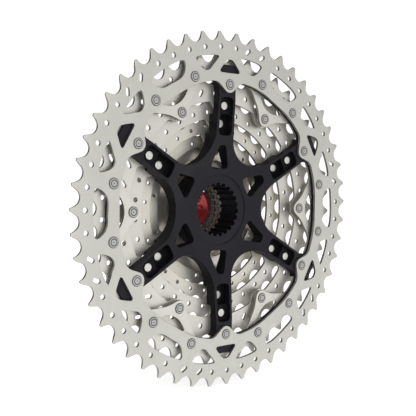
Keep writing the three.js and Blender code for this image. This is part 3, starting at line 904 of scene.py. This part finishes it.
# the collar and splined bore of the 21-tooth sprocket take the sleeve's black, darkened further as painted shade
_ob = PIECES["sprocket_21"]
_ob.data.materials.append(M_BLACK_SHADE)
_mi = np.array([p.material_index for p in _ob.data.polygons])
_pc = np.array([p.center[:] for p in _ob.data.polygons]) * 1000
_mi[np.hypot(_pc[:, 0], _pc[:, 2]) < 20.1] = len(_ob.data.materials) - 1
_ob.data.polygons.foreach_set("material_index", _mi.astype(np.int32))

# ------------------------------------------------------------------ spider
def spider():
    rim_r, tip_r = 82.36, 85.76
    pts = []
    for i in range(6):
        a = 60 * i
        h0 = math.degrees(math.asin(7.6 / rim_r))
        tip = [(-7.6, math.sqrt(rim_r**2 - 7.6**2)), (-7.6, 84.9), (-7.3, 85.45), (-6.8, tip_r), (0, tip_r), (6.8, tip_r),
               (7.3, 85.45), (7.6, 84.9), (7.6, math.sqrt(rim_r**2 - 7.6**2))]
        pts.append(turn(tip, a))
        arc = [at(rim_r, a + t) for t in np.linspace(h0, 60 - h0, 30)[1:-1]]
        pts.append(np.array(arc))
    outer = np.concatenate(pts)
    # opening between two arms
    u, rho = 53.0, 19.7
    arc = [(u + rho * math.cos((180 + t) * D), rho * math.sin((180 + t) * D)) for t in np.linspace(-56.7, 56.7, 25)]
    arc = uv30(arc)
    if arc[0][0] < arc[-1][0]:
        arc = arc[::-1]
    # arc now runs from the right-hand arm to the left-hand arm
    rim = np.concatenate([[(6.15, 70.2), (6.3, 72.0), (6.75, 73.5)], HALF[4:], MIDPT, mirror30(HALF[4:]),
                          mirror30([(6.15, 70.2), (6.3, 72.0), (6.75, 73.5)])])
    # straight arm edges joined to the rim with small rounds
    left_edge = [arc[-1] + (np.array([6.15, 70.2]) - arc[-1]) * t for t in (0.25, 0.5, 0.75)]
    r0 = mirror30([(6.15, 70.2)])[0]
    right_edge = [r0 + (arc[0] - r0) * t for t in (0.25, 0.5, 0.75)]
    opening = np.concatenate([arc, left_edge, rim, right_edge])
    op = ccw(dedupe(smooth(opening, 2)))
    openings = [turn(op, a) for a in ARMS]
    outer_p = smooth([(-4.7, 56.5), (-4.9, 57.5), (-4.9, 61), (-4.9, 64.2), (-4.5, 65.4), (-3.4, 66.5), (-2.2, 66.8), (2.2, 66.8),
                      (3.4, 66.5), (4.5, 65.4), (4.9, 64.2), (4.9, 61), (4.9, 57.5), (4.7, 56.5), (0, 56.2)], 3)
    inner_p = smooth([(-3.0, 44.4), (-3.9, 44.8), (-4.6, 45.6), (-4.9, 46.8), (-4.9, 51), (-4.9, 55), (-4.6, 56.3), (-3.6, 57.0),
                      (-2, 57.15), (2, 57.15), (3.6, 57.0), (4.6, 56.3), (4.9, 55), (4.9, 51), (4.9, 46.8), (4.6, 45.6),
                      (3.9, 44.8), (3.0, 44.4)], 3)
    window = smooth([(-4.6, 24.75), (0, 24.6), (4.6, 24.75), (5.8, 25.3), (6.4, 26.5), (6.2, 27.9), (4.6, 32.2), (3.1, 36.6),
                     (2.4, 37.9), (1.2, 38.5), (-1.2, 38.5), (-2.4, 37.9), (-3.1, 36.6), (-4.6, 32.2), (-6.2, 27.9),
                     (-6.4, 26.5), (-5.8, 25.3)], 3)
    spl = splines()
    holes = list(openings) + [spl]
    zones = []
    po, pi_ = [], []
    for a in ARMS:
        holes.append(turn(window, a))
        holes.append(dot_hole(ARM_OUT_R, a, 1.55))
        holes.append(dot_hole(ARM_IN_R, a, 1.55))
        po.append(ccw(turn(outer_p, a)))
        pi_.append(ccw(turn(inner_p, a)))
        zones.append((po[-1], 1))
        zones.append((pi_[-1], 1))
        holes.append(dot_hole(LOBE_R, a, 1.95, 20))
    for a in PAIRS:
        holes.append(dot_hole(PAIR_R, a, 1.95, 20))
    cb = ring(21.3, 120)
    zones.append((cb, 1))
    for r in (75.2, 57.3, 46.3):
        zones.append((ring(r, 180), 0))
    extra = [ring(r, 120) for r in (25.2 - 1.2, 29, 33, 37, 41, 45, 49, 53, 60, 66)]

    def yf(P, z):
        r = np.hypot(P[:, 0], P[:, 1])
        if z == 0:
            return np.interp(r, [21.3, 29, 45, 66, 90], [8.7, 8.0, 3.6, 1.81, 1.81])
        if z == 1:
            return np.full(len(P), 9.302)
        if z == 3:
            return np.full(len(P), 5.1)
        return np.full(len(P), 8.8)

    def zone_f(C):
        z = np.zeros(len(C), int)
        for p in po:
            z[inside(C, p)] = 3
        for p in pi_:
            z[inside(C, p)] = 5
        z[inside(C, ccw(cb))] = 1
        return z

    def yb(P, z):
        return np.full(len(P), {0: 3.62, 1: 7.31, 2: 10.99, 3: 14.29}[z])

    def zone_b(C):
        r = np.hypot(C[:, 0], C[:, 1])
        return np.select([r > 75.2, r > 57.3, r > 46.3], [0, 1, 2], 3)

    ob = relief("spider_body", outer, holes, yf, yb, 0.26, 0.2, zones, zone_f, zone_b, extra, sharp=50)
    return ob, po, pi_


sp, POCKET_O, POCKET_I = spider()
done(sp, "spider", [M_BLACK, M_BLACK_SHADE], "carrier")
# pocket floors and walls, and every side wall and back face, take the darkened black: painted shade
_loops = [inset(p, -0.02) for p in POCKET_O + POCKET_I]
_c = np.array([p.center[:] for p in sp.data.polygons]) * 1000
_in = np.zeros(len(_c), bool)
for _l in _loops:
    _in |= inside(_c[:, [0, 2]], _l)
_r = np.hypot(_c[:, 0], _c[:, 2])
_front = np.interp(_r, [21.3, 29, 45, 66, 90], [8.7, 8.0, 3.6, 1.81, 1.81]) + 0.3
_norm = np.array([p.normal[:] for p in sp.data.polygons])
_painted_shade = (_in & (_c[:, 1] > _front) & (_c[:, 1] < 8.95) & (_norm[:, 1] < 0.5)) | (_norm[:, 1] > -0.35)
sp.data.polygons.foreach_set("material_index", _painted_shade.astype(np.int32))

# splined sleeve behind the hub, black anodised and darkened further as painted shade
done(relief("sleeve_splined", ring(25.44, 160), [splines()], lambda P, z: np.full(len(P), 14.37),
            lambda P, z: np.full(len(P), 21.58), 0.2, extra=[ring(21.0, 120)]), "spider_sleeve", M_BLACK_SHADE, "carrier")

# ------------------------------------------------------------------ rivets and pins
def head(y0, r, h):
    """Rivet head profile from the middle outwards: a shallow dimple, an inner disc, a groove, a rim."""
    return [(0.0, y0 + 0.10), (0.35, y0 + 0.09), (0.6, y0 + 0.035), (0.75, y0 + 0.03), (r * 0.50, y0 + 0.03),
            (r * 0.54, y0 + 0.14), (r * 0.64, y0 + 0.14), (r * 0.68, y0 + 0.02), (r * 0.83, y0), (r * 0.87, y0 + 0.05),
            (r * 0.96, y0 + 0.2), (r, y0 + 0.3), (r, y0 + h)]


def grooves(ob, r):
    """The turned groove, the middle dimple and the gap around a rivet head take near-black steel: painted shade."""
    co = np.array([v.co[:] for v in ob.data.vertices]) * 1000
    mid = (co.min(0) + co.max(0)) / 2
    c = np.array([p.center[:] for p in ob.data.polygons]) * 1000
    d = np.hypot(c[:, 0] - mid[0], c[:, 2] - mid[2]) / r
    dark = ((d > 0.49) & (d < 0.685)) | (d > 0.865) | (d < 0.13)
    ob.data.polygons.foreach_set("material_index", (dark & (c[:, 1] < co[:, 1].min() + 0.6)).astype(np.int32))


def flat_head(y0, r, h):
    return [(0.0, y0 + 0.03), (r * 0.30, y0 + 0.025), (r * 0.42, y0 + 0.0), (r * 0.86, y0), (r * 0.94, y0 + 0.04),
            (r * 0.99, y0 + 0.11), (r, y0 + 0.18), (r, y0 + h)]


def tail(y1, r):
    return [(r, y1 - 0.2), (r * 0.97, y1 - 0.1), (r * 0.9, y1 - 0.02), (r * 0.75, y1), (0.0, y1)]


E = 0.06
for i, a in enumerate(ARMS):
    x, z = at(LOBE_R, a)
    p = head(-0.49, 3.1, 0.43) + [(1.88, -E), (1.88, 6.88), (0, 6.88)]
    ob = done(lathe(f"lobe_rivet_{i+1}", p, x, z), f"rivet_arm_end_{i+1}", [M_RIVET, M_RIVET_SHADE], "carrier")
    grooves(ob, 3.1)
for i, a in enumerate(PAIRS):
    x, z = at(PAIR_R, a)
    p = head(-0.49, 3.1, 0.43) + [(1.88, -E), (1.88, front(1) + THICK + E), (2.58, front(1) + THICK + E)] + tail(front(1) + THICK + 0.74, 2.58)
    ob = done(lathe(f"rim_rivet_{i+1}", p, x, z), f"rivet_rim_{i+1}", [M_RIVET, M_RIVET_SHADE], "carrier")
    grooves(ob, 3.1)
for i, a in enumerate(MIDS):
    x, z = at(TAB_R, a)
    p = head(front(1) - 0.54, 3.1, 0.48) + [(1.88, front(1) - E), (1.88, front(1) + THICK + E), (2.95, front(1) + THICK + E),
        (2.98, front(1) + THICK + 0.3), (2.98, front(2) - 0.3), (2.95, front(2) - E), (1.88, front(2) - E),
        (1.88, front(2) + THICK + E), (2.58, front(2) + THICK + E)] + tail(front(2) + THICK + 0.69, 2.58)
    ob = done(lathe(f"tab_rivet_{i+1}", p, x, z), f"rivet_tab_{i+1}", [M_RIVET, M_RIVET_SHADE], "carrier")
    grooves(ob, 3.1)
for name, r, y0, seat, back, lbl in (("rivet_arm_outer_", ARM_OUT_R, 4.66, 5.1, front(2) + THICK, "arm_stud_outer_"),
                                     ("rivet_arm_inner_", ARM_IN_R, 8.34, 8.8, front(3) + THICK, "arm_stud_inner_")):
    for i, a in enumerate(ARMS):
        x, z = at(r, a)
        p = flat_head(y0 + 0.01, 2.33, seat - E - y0 - 0.01) + [(1.48, seat - E), (1.48, back + E), (2.18, back + E)] + tail(back + 0.64, 2.18)
        done(lathe(f"{lbl}{i+1}", p, x, z), f"{name}{i+1}", M_STUD, "carrier")
for i, a in enumerate((0, 120, 240)):
    x, z = at(PIN_OUT_R, a)
    f4, f5, f6 = front(4), front(5), front(6)
    p = [(0, f4 - 0.27), (0.9, f4 - 0.27), (1.15, f4 - 0.2), (1.27, f4 - 0.08), (1.27, f4 + THICK + E), (2.1, f4 + THICK + E),
         (2.18, f4 + THICK + 0.15), (2.18, f5 - 0.15), (2.1, f5 - E), (1.27, f5 - E), (1.27, f5 + THICK + E), (2.1, f5 + THICK + E),
         (2.18, f5 + THICK + 0.15), (2.18, f6 - 0.15), (2.1, f6 - E), (1.27, f6 - E), (1.27, f6 + THICK + 0.1),
         (1.1, f6 + THICK + 0.25), (0, f6 + THICK + 0.27)]
    done(lathe(f"cluster_pin_outer_{i+1}", p, x, z), f"pin_outer_{i+1}", M_STUD, "cluster")
for i, a in enumerate((60, 180, 300)):
    x, z = at(PIN_IN_R, a)
    f6, f7, f9 = front(6), front(7), front(9)
    p = [(0, f6 - 0.27), (0.9, f6 - 0.27), (1.15, f6 - 0.2), (1.27, f6 - 0.08), (1.27, f6 + THICK + E), (1.83, f6 + THICK + E),
         (1.83, f7 - E), (1.27, f7 - E), (1.27, f9 + THICK), (1.15, f9 + THICK + 0.07), (0, f9 + THICK + 0.09)]
    done(lathe(f"cluster_pin_inner_{i+1}", p, x, z), f"pin_inner_{i+1}", M_STUD, "cluster")

# ------------------------------------------------------------------ washer and lockring
w0, w1 = front(11) + THICK + 0.3, 43.2
done(lathe("washer_ring", [(13.62, w0 + 0.1), (13.72, w0), (15.25, w0), (15.38, w0 + 0.1), (15.38, w1 - 0.1), (15.25, w1), (13.72, w1), (13.62, w1 - 0.1)], n=96), "lock_washer", M_DEEP_SHADED, "washer")


def lockring():
    y0, face, end = 33.62, 43.46, 45.28
    prof = [(11.62, y0 + 0.25), (11.85, y0), (12.7, y0)]
    y = y0 + 0.35
    prof.append((12.95, y0 + 0.12))
    while y < face - 1.4:  # thread, as fine grooves
        prof += [(13.17, y), (13.17, y + 0.2), (12.72, y + 0.5), (12.72, y + 0.62)]
        y += 0.95
    prof += [(12.75, face - 0.7), (13.1, face - 0.2), (13.15, face), (14.8, face), (14.97, face + 0.18), (14.97, end - 0.35),
             (14.75, end - 0.08), (14.5, end), (12.2, end), (11.85, end - 0.1), (11.62, end - 0.4)]
    return lathe("lock_ring_body", prof, n=128, sharp=30)


lr = lockring()
# tool splines inside the outer end
lv, lf = [], []
for i in range(12):
    c = turn([at(11.9, -6.0), at(11.55, -5.6), at(10.75, -4.3), at(10.66, 0), at(10.75, 4.3), at(11.55, 5.6), at(11.9, 6.0)], 30 * i)
    n0 = len(lv)
    m = len(c)
    for y in (39.5, 44.68):
        for q in c:
            lv.append((q[0], y, q[1]))
    lf += [[n0 + k, n0 + (k + 1) % m, n0 + m + (k + 1) % m, n0 + m + k] for k in range(m)]
    lf += [list(range(n0, n0 + m))[::-1], list(range(n0 + m, n0 + 2 * m))]
ts = make_object("lock_ring_splines", lv, lf, 40)
done(lr, "lockring", M_RED, "ring")
ts.data.materials.append(M_RED)
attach(ts, "ring")

# ------------------------------------------------------------------ studio
def plain(name, col, emit=0.0, rough=0.9):
    m, nt, b = new_mat(name)
    g = G(nt)
    nse = g.noise((9, 9, 9), 2.0, 0.5)
    g.link(g.mix(g.ramp(nse, 0.3, 0.7), tuple(v * 0.995 for v in col), col), b.inputs["Base Color"])
    b.inputs["Roughness"].default_value = rough
    b.inputs["Specular IOR Level"].default_value = 0.0
    if emit:
        b.inputs["Emission Color"].default_value = (1, 1, 1, 1)
        b.inputs["Emission Strength"].default_value = emit
    return m


M_FLOOR = plain("floor_pale", (0.93, 0.93, 0.93), 0.65)
fz = -0.1052
me = bpy.data.meshes.new("floor")
S = 6.0
me.from_pydata([(-S, -S, fz), (S, -S, fz), (S, S, fz), (-S, S, fz)], [], [(0, 1, 2, 3)])
floor = bpy.data.objects.new("floor", me)
COLL.objects.link(floor)
me.materials.append(M_FLOOR)

sc = bpy.context.scene
world = bpy.data.worlds.new("studio")
sc.world = world
world.use_nodes = True
# soft light box around the front of the object, dim behind it; the camera sees a plain white surround
wt = world.node_tree
wt.nodes.clear()
g = G(wt)
tc = g.n("ShaderNodeTexCoord")
sx = g.n("ShaderNodeSeparateXYZ")
g.link(tc.outputs["Generated"], sx.inputs[0])
frontness = g.math("MULTIPLY", sx.outputs["Y"], -1.0)
lit = g.ramp(frontness, -0.15, 1.0, 0.07, 1.28)
lit = g.math("ADD", lit, g.ramp(sx.outputs["Z"], 0.2, 1.0, 0.0, 0.35))
bg = g.n("ShaderNodeBackground")
g.link(lit, bg.inputs["Strength"])
bg.inputs["Color"].default_value = (1.0, 0.995, 0.985, 1)
seen = g.n("ShaderNodeBackground")
seen.inputs["Color"].default_value = (1, 1, 1, 1)
seen.inputs["Strength"].default_value = 1.05
lp = g.n("ShaderNodeLightPath")
mx = g.n("ShaderNodeMixShader")
g.link(lp.outputs["Is Camera Ray"], mx.inputs[0])
g.link(bg.outputs[0], mx.inputs[1])
g.link(seen.outputs[0], mx.inputs[2])
wo = g.n("ShaderNodeOutputWorld")
g.link(mx.outputs[0], wo.inputs["Surface"])


def area_light(name, loc, target, size, power, colour=(1, 1, 1)):
    l = bpy.data.lights.new(name, "AREA")
    l.shape = "RECTANGLE"
    l.size, l.size_y = size
    l.energy = power
    l.color = colour
    o = bpy.data.objects.new(name, l)
    COLL.objects.link(o)
    o.location = loc
    d = Vector(target) - Vector(loc)
    o.rotation_euler = d.to_track_quat("-Z", "Y").to_euler()
    return o


area_light("key", (-0.9, -0.9, 0.55), (0, 0, 0), (0.9, 0.9), 6.0)

sc.view_settings.view_transform = "Standard"
sc.view_settings.look = "None"
sc.view_settings.exposure = 0.0
sc.view_settings.gamma = 1.0

# ------------------------------------------------------------------ camera
F_PX = 729.4
RV = np.array([3.035, -0.170, 1.077])
TV = np.array([11.908, 1.333, 432.52])
RHO = 1.46 - math.pi / 2
th = float(np.linalg.norm(RV))
k = RV / th
K = np.array([[0, -k[2], k[1]], [k[2], 0, -k[0]], [-k[1], k[0], 0]])
R = np.eye(3) + math.sin(th) * K + (1 - math.cos(th)) * (K @ K)
C = np.array([[math.cos(RHO), 0, -math.sin(RHO)], [math.sin(RHO), 0, math.cos(RHO)], [0, -1, 0]])
W = np.diag([1, -1, -1]) @ R @ C
t = np.diag([1, -1, -1]) @ (TV / 1000)
M = np.eye(4)
M[:3, :3] = W
M[:3, 3] = t
cam = bpy.data.cameras.new("camera")
cam.sensor_fit = "HORIZONTAL"
cam.sensor_width = 36.0
cam.lens = F_PX * 36 / 416
cam.clip_start = 0.01
cam.clip_end = 50
co = bpy.data.objects.new("camera", cam)
COLL.objects.link(co)
co.matrix_world = Matrix(M.tolist()).inverted()
sc.camera = co
